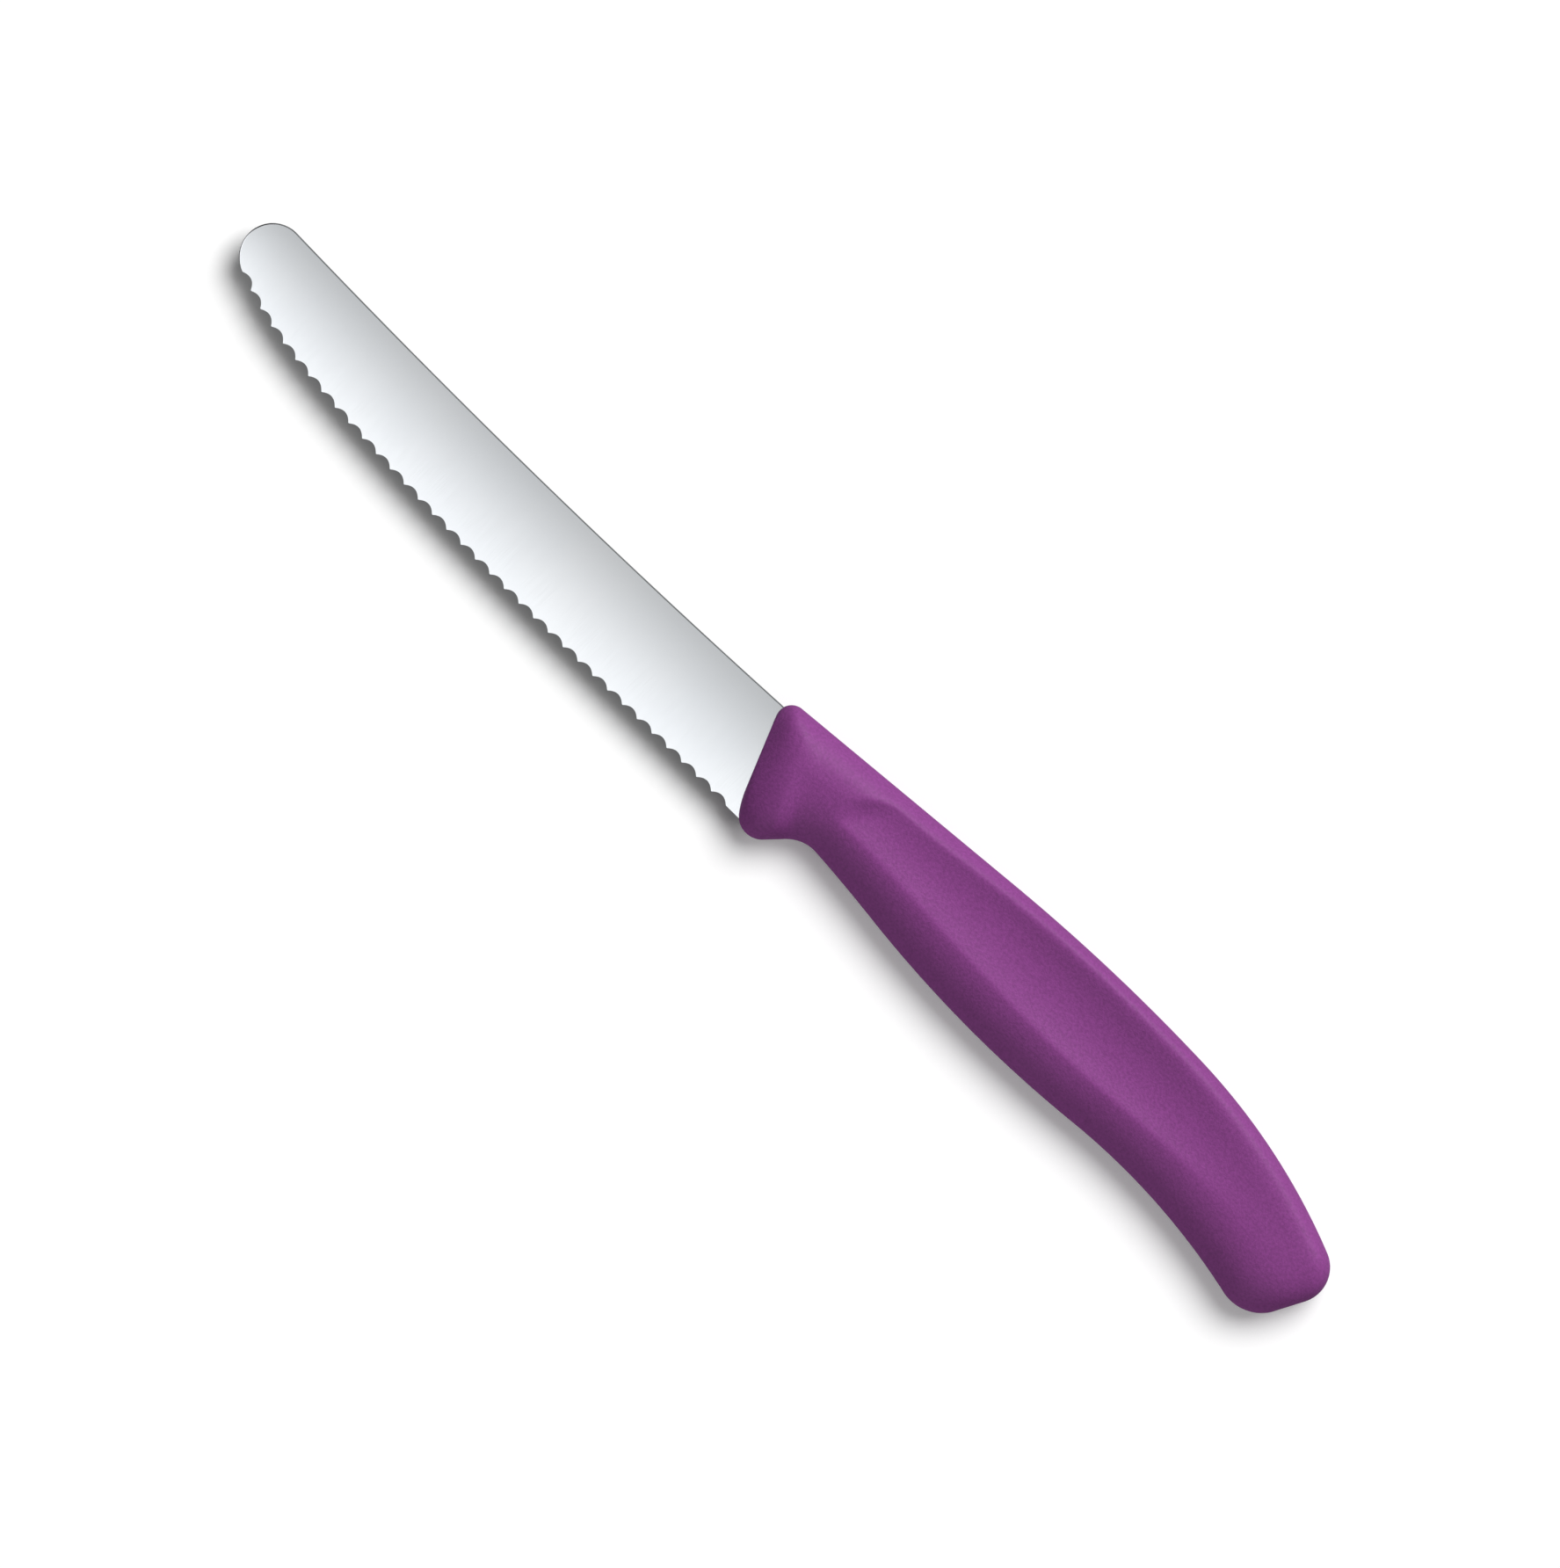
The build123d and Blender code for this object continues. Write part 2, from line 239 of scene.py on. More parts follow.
rib_feet = walk(FRONT_FOOT, np.radians(FRONT_TILT + 90), belly_lengths, belly_turns, belly_distances)
print("ribs", len(rib_tops), "last from", rib_tops[-1].round(2), "to", rib_feet[-1].round(2))

# %% [markdown]
# ## How thick the handle is
# Across each rib the handle is a rounded body: it rises steeply from the spine and more gently from the
# belly. A long finger hollow is scooped out of each side: its front wall leans back, and flares forward
# near the spine. The skin is whichever of the two is lower, and where they cross, a rounded crease runs
# all round the hollow, softer on the spine side. Writing it this way means that the crease needs no edge
# of its own: it appears where the two formulas meet, as it does where a cutter dips into a mould.

# %% Height of the handle's side
BODY_THICKNESS = 14.8
BODY_CROWN_SHARE = 0.12
CROWN_MIDDLE_SHARE = 0.46
GUARD_ZONE = (5.6, 11.7)
GRIP_ZONE = (25.0, 65.0)
APEX_SHARES = (0.275, 0.400, 0.378)
SPINE_FULLNESS = (3.2, 1.3, 4.3)
BELLY_FULLNESS = (4.0, 1.1, 1.37)
NOSE_THICKNESS = 5.4
NOSE_REACH = 5.7
NOSE_FULLNESS = 1.18
BUTT_REACH = 7.0
BUTT_LAND_SHARE = 0.12
SIDE_LAND_THICKNESS = 12.7
LAND_ROUNDING = 1.6

HOLLOW_FLOOR_THICKNESS = 9.25
HOLLOW_AXIS_SHARES = (0.178, 0.546)
HOLLOW_AXIS_BOW_SHARE = 0.176
HOLLOW_SPINE_RADIUS = 13.4
HOLLOW_BELLY_RADII = (15.7, 7.8)
HOLLOW_FRONT = 23.3
HOLLOW_FRONT_RADIUS = 5.0
HOLLOW_FRONT_LEAN = 0.726
HOLLOW_FLARE_DROP = 5.4
HOLLOW_FLARE_RADIUS = 25.3
HOLLOW_BACK = 68.4
HOLLOW_BACK_RADIUS = 345.0
CREASE_HEIGHTS = (1.73, 0.41)
CREASE_CHANGE = (-4.0, 4.0)
FRONT_CREASE_HEIGHT = 0.70
FRONT_CREASE_POWER = 3


def ease(share, fullness):
    """Quarter of a superellipse: (1 - (1 - share)^n)^(1/n)."""
    return (1 - (1 - np.clip(share, 0, 1)) ** fullness) ** (1 / fullness)


def gap_to_line(points, start, end):
    """Distance of points from the line through start and end, on its left."""
    along = (end - start) / np.linalg.norm(end - start)
    return along[0] * (points[..., 1] - start[1]) - along[1] * (points[..., 0] - start[0])


def lower_of(first, second, rounding):
    """Smooth minimum: (a + b - root((a - b)^2 + r^2)) / 2."""
    return (first + second - np.sqrt((first - second) ** 2 + rounding ** 2)) / 2


def smooth_step(start, end, x):
    """Goes from 0 to 1 between start and end, as 3 s^2 - 2 s^3."""
    share = np.clip((x - start) / (end - start), 0, 1)
    return share ** 2 * (3 - 2 * share)


def by_zone(values, past_guard, past_grip):
    """Value of the guard, the front of the grip or the tail, mixed where one goes over to the next."""
    guard, grip, tail = values
    return guard + past_guard * (grip + past_grip * (tail - grip) - guard)


def side_height(tops, feet, across):
    """Height of the shown side at each rib and at each share across it: body, hollow and flat land."""
    middles = (tops + feet) / 2
    crown = (-middles[:, 0] / HANDLE_LENGTH - CROWN_MIDDLE_SHARE) / CROWN_MIDDLE_SHARE
    full = BODY_THICKNESS / 2 * (1 - BODY_CROWN_SHARE * crown ** 2)
    nose = ease(gap_to_line(middles, FRONT_TOP, FRONT_FOOT) / NOSE_REACH, NOSE_FULLNESS)
    half = NOSE_THICKNESS / 2 + (full - NOSE_THICKNESS / 2) * nose
    butt = ease(gap_to_line(middles, feet[-1], tops[-1]) / BUTT_REACH, 2)
    half = (half * (BUTT_LAND_SHARE + (1 - BUTT_LAND_SHARE) * butt))[:, None]

    past = [smooth_step(*zone, -middles[:, :1]) for zone in (GUARD_ZONE, GRIP_ZONE)]
    apex = by_zone(APEX_SHARES, *past)
    spine_fall = np.clip((apex - across) / apex, 0, 1) ** by_zone(SPINE_FULLNESS, *past)
    belly_fall = np.clip((across - apex) / (1 - apex), 0, 1) ** by_zone(BELLY_FULLNESS, *past)
    body = half * np.sqrt(np.clip(1 - spine_fall - belly_fall, 0, 1))

    points = tops[:, None] + across[None, :, None] * (feet - tops)[:, None]
    widths = np.linalg.norm(feet - tops, axis=1)[:, None]
    along = -middles[:, :1] / HANDLE_LENGTH
    axis_shares = HOLLOW_AXIS_SHARES[0] + (HOLLOW_AXIS_SHARES[1] - HOLLOW_AXIS_SHARES[0]) * along
    axis_shares = axis_shares + HOLLOW_AXIS_BOW_SHARE * along * (1 - along)
    off_axis = (across[None] - axis_shares) * widths
    belly_radii = HOLLOW_BELLY_RADII[0] + (HOLLOW_BELLY_RADII[1] - HOLLOW_BELLY_RADII[0]) * along
    radii = np.where(off_axis < 0, HOLLOW_SPINE_RADIUS, belly_radii)
    flare = np.maximum(HOLLOW_FLARE_DROP - points[..., 1], 0) ** 2 / (2 * HOLLOW_FLARE_RADIUS)
    back = HOLLOW_FRONT_LEAN * (points[..., 1] - FRONT_TOP[1]) - points[..., 0] + flare
    hollow = HOLLOW_FLOOR_THICKNESS / 2 + off_axis ** 2 / (2 * radii)
    hollow += np.maximum(HOLLOW_FRONT - back, 0) ** 2 / (2 * HOLLOW_FRONT_RADIUS)
    hollow += np.maximum(back - HOLLOW_BACK, 0) ** 2 / (2 * HOLLOW_BACK_RADIUS)

    spine_crease, belly_crease = CREASE_HEIGHTS
    crease = spine_crease + (belly_crease - spine_crease) * smooth_step(*CREASE_CHANGE, off_axis)
    crease = crease + (FRONT_CREASE_HEIGHT - crease) * (1 - past[1]) ** FRONT_CREASE_POWER
    skin = lower_of(body, hollow, crease * body / half)
    return points, lower_of(skin, SIDE_LAND_THICKNESS / 2, LAND_ROUNDING * body / half)


# %% [markdown]
# ## The handle as one closed skin
# Each row of the grid is one rib gone all the way round: over the shown side and back under the hidden
# side, which is its mirror image. Points crowd towards both rims, where the skin turns fastest. At the
# front and at the butt the rows close onto their own rib, which fills those small flat ends.

# %% Make the handle
ACROSS_COUNT = 121
END_ROWS = 4


def handle_grid():
    """Rows of points: rib by rib, over the top and back under it, with rows that close both ends."""
    turn = np.linspace(0, np.pi, ACROSS_COUNT)
    across = (1 - np.cos(turn)) / 2
    plan, height = side_height(rib_tops, rib_feet, across)
    height[:, [0, -1]] = 0
    over = np.concatenate([plan, height[..., None]], axis=2)
    under = over[:, -2:0:-1] * np.array([1, 1, -1])
    skin = np.concatenate([over, under], axis=1)
    closing = np.linspace(0, 1, END_ROWS, endpoint=False)[:, None, None]
    front_rows = skin[:1] * np.concatenate([np.ones_like(closing)] * 2 + [closing], axis=2)
    butt_rows = skin[-1:] * np.concatenate([np.ones_like(closing)] * 2 + [closing], axis=2)
    return np.concatenate([front_rows, skin, butt_rows[::-1]])


handle = make_piece("moulded_handle", handle_grid())
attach(handle, "root")
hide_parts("handle")

# %% [markdown]
# ## The blade's outline
# The blade is stamped from sheet: a spine with a slight hollow in it, a round tip that can't stab, and
# an edge line that is straight at the heel and curls up to the tip. Behind the handle's front it goes on
# as the tang. All of that is two heights for each place along the knife: where the steel starts, on the
# spine side, and where it ends, on the edge side.

# %% Outline of the blade
BLADE_DEPTH = 16.7
SPINE_SAG = 0.95
TIP_RADIUS = 5.05
TIP_OPEN_ANGLE = 70.0
EDGE_STRAIGHT = 30.0
EDGE_DROP = 4.2
EDGE_CURL_POWER = 10
HEEL_COVER = 1.8
TANG_NECK = 11.0
TANG_LENGTH = 62.0
TANG_DEPTH = 8.6
TANG_END_DEPTH = 6.4
TANG_MIDDLE_DROP = 4.6

TIP_CENTRE = np.array([BLADE_LENGTH - TIP_RADIUS, TIP_RADIUS - TIP_LIFT])
open_turn = np.radians(TIP_OPEN_ANGLE)
EDGE_END = TIP_CENTRE + TIP_RADIUS * np.array([np.cos(open_turn), np.sin(open_turn)])
HEEL_X = FRONT_TOP[0] - (BLADE_DEPTH - FRONT_TOP[1]) * np.tan(np.radians(FRONT_TILT)) - HEEL_COVER


def spine_height(x):
    """Steel's start: a shallow arc along the blade, then straight lines to the tang's end."""
    share = np.clip(x / TIP_CENTRE[0], 0, 1)
    arc = -TIP_LIFT * share + 4 * (SPINE_SAG + TIP_LIFT / 2) * share * (1 - share)
    tang_top, tang_end_top = TANG_MIDDLE_DROP - TANG_DEPTH / 2, TANG_MIDDLE_DROP - TANG_END_DEPTH / 2
    return arc + np.interp(x, [-TANG_LENGTH, -TANG_NECK, 0], [tang_end_top, tang_top, 0])


def cusp_line(x):
    """Line through the edge's cusps: flat at the heel, then falling as a parabola, then curling up."""
    share = np.maximum(x - EDGE_STRAIGHT, 0) / (EDGE_END[0] - EDGE_STRAIGHT)
    curl = BLADE_DEPTH - EDGE_DROP - EDGE_END[1]
    return BLADE_DEPTH - EDGE_DROP * share ** 2 - curl * share ** EDGE_CURL_POWER


print("edge ends", EDGE_END.round(2), "heel at", round(float(HEEL_X), 2))

# %% [markdown]
# ## The scallops
# A wheel dips into the hidden face once per scallop, at a slant, and stops when it just breaks through
# the shown face. So each scallop is a piece of a slanted cylinder, and the wavy edge is the line where
# that cylinder meets the shown face. The steel's underside is then simply the highest of the flat
# hidden face and all the cylinders, and the edge is found by halving: the place where nothing is left
# between the two faces.

# %% Steel faces and scallops
BLADE_THICKNESS = 1.2
EDGE_THICKNESS = 0.4
TIP_THICKNESS = 0.8
FACE_CROWN_POWER = 2.2
DEPTH_FOLLOW = 0.5
SCALLOP_PITCH = 3.1
SCALLOP_DEPTH = 0.77
SCALLOP_COUNT = 35
GRIND_RADIUS = 6.2
CUSP_WEAR = 0.04
PITCH_CORRECTIONS = 4
HALVINGS = 30


def face_height(x, y):
    """Shown face: it falls evenly to the tip, and faster and faster towards the edge."""
    tip_fall = (BLADE_THICKNESS - TIP_THICKNESS) / 2 * np.maximum(x, 0) / BLADE_LENGTH
    depth = BLADE_DEPTH - DEPTH_FOLLOW * (BLADE_DEPTH - cusp_line(np.minimum(x, EDGE_END[0])))
    edge_share = np.clip(y / depth, 0, 1) * (x > HEEL_X - HEEL_COVER)
    edge_fall = (BLADE_THICKNESS - EDGE_THICKNESS) / 2 * edge_share ** FACE_CROWN_POWER
    return BLADE_THICKNESS / 2 - tip_fall - edge_fall


def find_cusps():
    """Cusps one pitch apart along the cusp line, from the tip back: a row of x and a row of y."""
    x = [EDGE_END[0]]
    for _ in range(SCALLOP_COUNT):
        reach = SCALLOP_PITCH
        for _ in range(PITCH_CORRECTIONS):
            reach *= SCALLOP_PITCH / np.hypot(reach, cusp_line(x[-1]) - cusp_line(x[-1] - reach))
        x.append(x[-1] - reach)
    return np.array([x, cusp_line(np.array(x))])


def grind_cylinders(cusps):
    """Centre and direction of each grinding cylinder, worked out from the two cusps beside it."""
    ends = cusps.T
    chord = ends[:-1] - ends[1:]
    length = np.linalg.norm(chord, axis=1, keepdims=True)
    out = np.stack([-chord[:, 1], chord[:, 0]], axis=1) / length
    middle = (ends[:-1] + ends[1:]) / 2
    root = middle - SCALLOP_DEPTH * out
    bow = GRIND_RADIUS - np.sqrt(GRIND_RADIUS ** 2 - (length[:, 0] / 2) ** 2)
    root_height = face_height(root[:, 0], root[:, 1])
    slope = (face_height(middle[:, 0], middle[:, 1]) - root_height) / SCALLOP_DEPTH
    tilt = np.arcsin(bow / SCALLOP_DEPTH) + np.arctan(slope)
    centre = np.concatenate([
        root + (GRIND_RADIUS * np.sin(tilt))[:, None] * out,
        (root_height - GRIND_RADIUS * np.cos(tilt))[:, None],
    ], axis=1)
    along = np.concatenate([np.cos(tilt)[:, None] * out, np.sin(tilt)[:, None]], axis=1)
    return centre, along


cusps = find_cusps()
grind_centres, grind_axes = grind_cylinders(cusps)
print("scallops", len(grind_centres), "first cusps", cusps[:, :3].round(2).tolist())


def underside_height(x, y):
    """Hidden face: the mirror of the shown one, raised wherever the nearest cylinders cut deeper.

    A point at height z is on a cylinder when its distance from the axis is the radius. Written out,
    that is a square equation in z, and its upper root is the cylinder's top there.
    """
    height = -face_height(x, y)
    nearest = np.clip(np.searchsorted(-cusps[0], -x) - 1, 0, len(grind_centres) - 1)
    for shift in (-1, 0, 1):
        index = np.clip(nearest + shift, 0, len(grind_centres) - 1)
        centre, axis = grind_centres[index], grind_axes[index]
        dx, dy = x - centre[..., 0], y - centre[..., 1]
        flat = dx * axis[..., 0] + dy * axis[..., 1]
        square = 1 - axis[..., 2] ** 2
        linear = flat * axis[..., 2]
        rest = dx ** 2 + dy ** 2 - flat ** 2 - GRIND_RADIUS ** 2
        under_root = linear ** 2 - square * rest
        top = centre[..., 2] + (linear + np.sqrt(np.maximum(under_root, 0))) / square
        height = np.where(under_root > 0, np.maximum(height, top), height)
    return np.minimum(height, face_height(x, y))


def edge_height(x):
    """Steel's end on the edge side: found by halving on the blade, on straight lines along the tang."""
    high = cusp_line(x) - CUSP_WEAR
    low = high - 2 * SCALLOP_DEPTH
    for _ in range(HALVINGS):
        half_way = (low + high) / 2
        solid = face_height(x, half_way) - underside_height(x, half_way) > MERGE_DISTANCE / MM
        low, high = np.where(solid, half_way, low), np.where(solid, high, half_way)
    tang_foot, tang_end_foot = TANG_MIDDLE_DROP + TANG_DEPTH / 2, TANG_MIDDLE_DROP + TANG_END_DEPTH / 2
    hidden = np.interp(
        x, [-TANG_LENGTH, -TANG_NECK, HEEL_X], [tang_end_foot, tang_foot, BLADE_DEPTH - CUSP_WEAR])
    return np.where(x < HEEL_X, hidden, low)


# %% [markdown]
# ## The blade as one closed skin
# The grid walks once round the steel's rim: along the spine, round the tip, back along the scallops and
# round the tang. From each rim point it walks inwards, over the rim's tiny rounding and across the face
# to a middle line. The same walk on the hidden side, joined rim to rim, closes the skin. Columns are set
# by the scallops, so that each cusp has a point of its own and stays sharp.

# %% Rim of the blade
SCALLOP_COLUMNS = 18
TANG_COLUMNS = 40
HEEL_COLUMNS = 12
TIP_POINTS = 72
TANG_CORNER = 1.5
TANG_CORNER_POINTS = 6


def rim_columns():
    """Places along the knife: evenly on the tang and the heel, then one set between each two cusps."""
    tang = np.linspace(-TANG_LENGTH, -TANG_NECK, TANG_COLUMNS, endpoint=False)
    neck = np.linspace(-TANG_NECK, HEEL_X, HEEL_COLUMNS, endpoint=False)
    heel = np.linspace(HEEL_X, cusps[0, -1], HEEL_COLUMNS, endpoint=False)
    share = np.linspace(0, 1, SCALLOP_COLUMNS, endpoint=False)[None]
    starts, ends = cusps[0, :0:-1][:, None], cusps[0, -2::-1][:, None]
    return np.concatenate([tang, neck, heel, (starts + share * (ends - starts)).ravel()])


columns = rim_columns()
long_columns = columns[columns <= cusps[0, 1]]
first_scallop = columns[columns > cusps[0, 1]]
spine_rest = np.linspace(long_columns[-1], TIP_CENTRE[0], HEEL_COLUMNS)[1:]
tip_turns = np.linspace(-np.pi / 2, open_turn, TIP_POINTS)[1:]
tip_points = TIP_CENTRE + TIP_RADIUS * np.stack([np.cos(tip_turns), np.sin(tip_turns)], axis=1)
rim = np.concatenate([
    np.stack([long_columns, spine_height(long_columns)], axis=1),
    np.stack([spine_rest, spine_height(spine_rest)], axis=1),
    tip_points,
    np.stack([first_scallop[::-1], edge_height(first_scallop[::-1])], axis=1),
    np.stack([long_columns[::-1], edge_height(long_columns[::-1])], axis=1),
])
lowest = np.minimum(cusp_line(long_columns), edge_height(long_columns))
middle_points = np.stack([long_columns, (spine_height(long_columns) + lowest) / 2], axis=1)
turning = len(rim) - 2 * len(long_columns)
middles = np.concatenate([middle_points, np.repeat(middle_points[-1:], turning, axis=0), middle_points[::-1]])
print("rim points", len(rim))

# %% Skin of the blade
RIM_ROUNDING = 0.20
ROUNDING_POINTS = 5
SHARP_ANGLE = 9.0
NEAR_EDGE_SHARES = np.linspace(0, 0.34, 15)
FAR_SHARES = np.array([0.42, 0.52, 0.64, 0.76, 0.88, 1.0])


def blade_grid():
    """Rows inwards from the rim on the shown side, and the same rows back out on the hidden side."""
    is_edge = np.zeros(len(rim))
    edge_start = len(rim) - len(long_columns) - len(first_scallop)
    is_edge[edge_start:] = 1
    fade = HEEL_COLUMNS
    is_edge[edge_start - fade:edge_start] = np.linspace(0, 1, fade)
    is_edge[rim[:, 0] < HEEL_X] = 0
    rounding = RIM_ROUNDING * (1 - is_edge)
    inward = middles - rim
    inward /= np.maximum(np.linalg.norm(inward, axis=1, keepdims=True), MERGE_DISTANCE)
    turn = np.linspace(0, np.pi / 2, ROUNDING_POINTS)
    top_rows = []
    for angle in turn:
        plan = rim + inward * (rounding * (1 - np.cos(angle)))[:, None]
        height = face_height(plan[:, 0], plan[:, 1]) - rounding * (1 - np.sin(angle))
        top_rows.append(np.concatenate([plan, height[:, None]], axis=1))
    start = rim + inward * rounding[:, None]
    low_rows = []
    for angle in turn:
        plan = rim + inward * (rounding * (1 - np.cos(angle)))[:, None]
        height = underside_height(plan[:, 0], plan[:, 1]) + rounding * (1 - np.sin(angle))
        low_rows.append(np.concatenate([plan, height[:, None]], axis=1))
    for share in np.concatenate([NEAR_EDGE_SHARES[1:], FAR_SHARES]):
        plan = start + share * (middles - start)
        top_rows.append(np.concatenate([plan, face_height(plan[:, 0], plan[:, 1])[:, None]], axis=1))
        low_rows.append(np.concatenate([plan, underside_height(plan[:, 0], plan[:, 1])[:, None]], axis=1))
    return np.stack(top_rows[::-1] + low_rows)


blade = make_piece("steel_blade", blade_grid())
blade.data.set_sharp_from_angle(angle=np.radians(SHARP_ANGLE))
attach(blade, "root")
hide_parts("blade")

# %% [markdown]
# ## Grain, drawn once and used twice
# Both finishes have a grain that is too fine to model: the plastic takes it from the etched mould, the
# steel from the grinding belt. Both are noise on the piece's own coordinates, and they differ only in
# how far it is stretched, so one node group makes both. It gives a fine height for the bump and a broad
# cloud for slow changes in gloss and colour.

# %% Node group for the grain


def add_node(tree, kind, **settings):
    """A node of this kind, with its inputs set by name."""
    node = tree.nodes.new(kind)
    for name, value in settings.items():
        node.inputs[name.replace("_", " ")].default_value = value
    return node


def make_grain_group():
    """Fine noise on object coordinates that are first stretched along each axis, and broad noise on the plain
    ones.
    """
    group = bpy.data.node_groups.new("fine_grain", "ShaderNodeTree")
    sockets = group.interface
    sockets.new_socket("Stretch", in_out="INPUT", socket_type="NodeSocketVector")
    sockets.new_socket("Fine Scale", in_out="INPUT", socket_type="NodeSocketFloat")
    sockets.new_socket("Broad Scale", in_out="INPUT", socket_type="NodeSocketFloat")
    sockets.new_socket("Height", in_out="OUTPUT", socket_type="NodeSocketFloat")
    sockets.new_socket("Cloud", in_out="OUTPUT", socket_type="NodeSocketFloat")
    inputs = group.nodes.new("NodeGroupInput")
    outputs = group.nodes.new("NodeGroupOutput")
    coordinates = add_node(group, "ShaderNodeTexCoord")
    stretched = add_node(group, "ShaderNodeVectorMath")
    stretched.operation = "MULTIPLY"
    fine = add_node(group, "ShaderNodeTexNoise", Detail=3.0, Roughness=0.6)
    broad = add_node(group, "ShaderNodeTexNoise", Detail=2.0, Roughness=0.5)
    link = group.links.new
    link(coordinates.outputs["Object"], stretched.inputs[0])
    link(inputs.outputs["Stretch"], stretched.inputs[1])
    link(stretched.outputs[0], fine.inputs["Vector"])
    link(coordinates.outputs["Object"], broad.inputs["Vector"])
    link(inputs.outputs["Fine Scale"], fine.inputs["Scale"])
    link(inputs.outputs["Broad Scale"], broad.inputs["Scale"])
    link(fine.outputs[0], outputs.inputs["Height"])
    link(broad.outputs[0], outputs.inputs["Cloud"])
    for index, node in enumerate(group.nodes):
        node.location = (220 * index, 0)
    return group


grain_group = make_grain_group()
print("group", grain_group.name, [item.name for item in grain_group.interface.items_tree])


def new_material(name):
    """Empty material with its shader and output."""
    material = bpy.data.materials.new(name)
    material.use_nodes = True
    return material, material.node_tree, material.node_tree.nodes["Principled BSDF"]


def add_grain(tree, stretch, fine_scale, broad_scale):
    """The grain group, placed in a material with its own values."""
    node = tree.nodes.new("ShaderNodeGroup")
    node.node_tree = grain_group
    node.inputs["Stretch"].default_value = stretch
    node.inputs["Fine Scale"].default_value = fine_scale
    node.inputs["Broad Scale"].default_value = broad_scale
    return node


def add_range(tree, source, low, high, start=0.3, end=0.7):
    """Source from start to end becomes low to high."""
    node = add_node(tree, "ShaderNodeMapRange")
    for name, value in (("From Min", start), ("From Max", end), ("To Min", low), ("To Max", high)):
        node.inputs[name].default_value = value
    tree.links.new(source, node.inputs["Value"])
    return node.outputs["Result"]


def add_mix(tree, share, first, second):
    """Colour that goes from first to second with the share. Each is a colour or comes from a node."""
    node = tree.nodes.new("ShaderNodeMix")
    node.data_type = "RGBA"
    for name, colour in (("A", first), ("B", second)):
        if isinstance(colour, tuple):
            node.inputs[name].default_value = (*colour, 1)
        else:
            tree.links.new(colour, node.inputs[name])
    tree.links.new(share, node.inputs["Factor"])
    return node.outputs["Result"]


# %% [markdown]
# ## Matte purple plastic
# The handle is dyed right through and comes out of an etched mould, so it is matte, with a sparkle too
# fine to see as bumps. Real plastic isn't even: tiny hills catch light and dips stay dark. Here that is
# painted light and shade, a small change of colour with the grain: lighter on its hills, darker in its
# dips. Where the two halves of the mould meet, a hair-fine line runs round the handle, halfway through its
# thickness.

# %% Handle material
PURPLE_DIP_PAINTED_SHADE = (0.170, 0.0362, 0.170)
PURPLE_HILL_PAINTED_SPARKLE = (0.232, 0.0495, 0.232)
PLASTIC_GRAIN_SCALES = (2300.0, 55.0)
PLASTIC_IOR = 1.49
PLASTIC_SHINE = 0.16
PLASTIC_ROUGHNESS = (0.56, 0.64)
PLASTIC_RELIEF = {"Strength": 0.6, "Distance": 0.00012}
PARTING_HALF_WIDTH = 0.05
PARTING_DEPTH = 1.5


def make_plastic():
    """Plastic: grain in gloss and bump, painted sparkle and shade in colour, and the mould's parting line as
    a fine groove.
    """
    material, tree, shader = new_material("matte_purple_plastic")
    grain = add_grain(tree, (1, 1, 1), *PLASTIC_GRAIN_SCALES)
    painted_sparkle_share = add_range(tree, grain.outputs["Height"], 0, 1)
    shader.inputs["IOR"].default_value = PLASTIC_IOR
    shader.inputs["Specular IOR Level"].default_value = PLASTIC_SHINE
    # Base colour follows the grain's height: painted sparkle on its hills and painted shade in its dips.
    tree.links.new(add_mix(tree, painted_sparkle_share, PURPLE_DIP_PAINTED_SHADE, PURPLE_HILL_PAINTED_SPARKLE), shader.inputs["Base Color"])
    tree.links.new(add_range(tree, grain.outputs["Cloud"], *PLASTIC_ROUGHNESS), shader.inputs["Roughness"])

    coordinates = tree.nodes.new("ShaderNodeTexCoord")
    split = tree.nodes.new("ShaderNodeSeparateXYZ")
    tree.links.new(coordinates.outputs["Object"], split.inputs[0])
    away = tree.nodes.new("ShaderNodeMath")
    away.operation = "SUBTRACT"
    away.inputs[1].default_value = float(drawing_shift[2]) * MM
    tree.links.new(split.outputs["Z"], away.inputs[0])
    distance = tree.nodes.new("ShaderNodeMath")
    distance.operation = "ABSOLUTE"
    tree.links.new(away.outputs[0], distance.inputs[0])
    groove = add_range(tree, distance.outputs[0], 0, 1, 0, PARTING_HALF_WIDTH * MM)
    relief = tree.nodes.new("ShaderNodeMath")
    relief.operation = "MULTIPLY_ADD"
    relief.inputs[1].default_value = PARTING_DEPTH
    tree.links.new(groove, relief.inputs[0])
    tree.links.new(grain.outputs["Height"], relief.inputs[2])
    bump = add_node(tree, "ShaderNodeBump", **PLASTIC_RELIEF)
    tree.links.new(relief.outputs[0], bump.inputs["Height"])
    tree.links.new(bump.outputs["Normal"], shader.inputs["Normal"])
    return material


handle.data.materials.append(make_plastic())

# %% [markdown]
# ## Ground and glazed steel
# Knife blades are ground across their width and then glazed with a fine wheel, which leaves hair lines
# that only show where they blur a reflection. The lines are the same grain, stretched across the blade.
# Steel has no colour of its own to speak of: what shows in it is the room. The narrow rim gets painted
# shade, a dark colour that draws a dark line round the blade: it is found as the part whose surface stands
# steep.

# %% Blade material
STEEL_DARK = (0.855, 0.886, 0.920)
STEEL_LIGHT = (0.890, 0.914, 0.940)
STEEL_PAINTED_RIM_SHADE = (0.16, 0.165, 0.17)
STEEP_NORMAL_HEIGHTS = (0.80, 0.96)
STEEL_STRETCH = (1, 0.02, 1)
STEEL_GRAIN_SCALES = (5200.0, 40.0)
STEEL_ROUGHNESS = (0.12, 0.17)
STEEL_RELIEF = {"Strength": 0.12, "Distance": 0.000004}


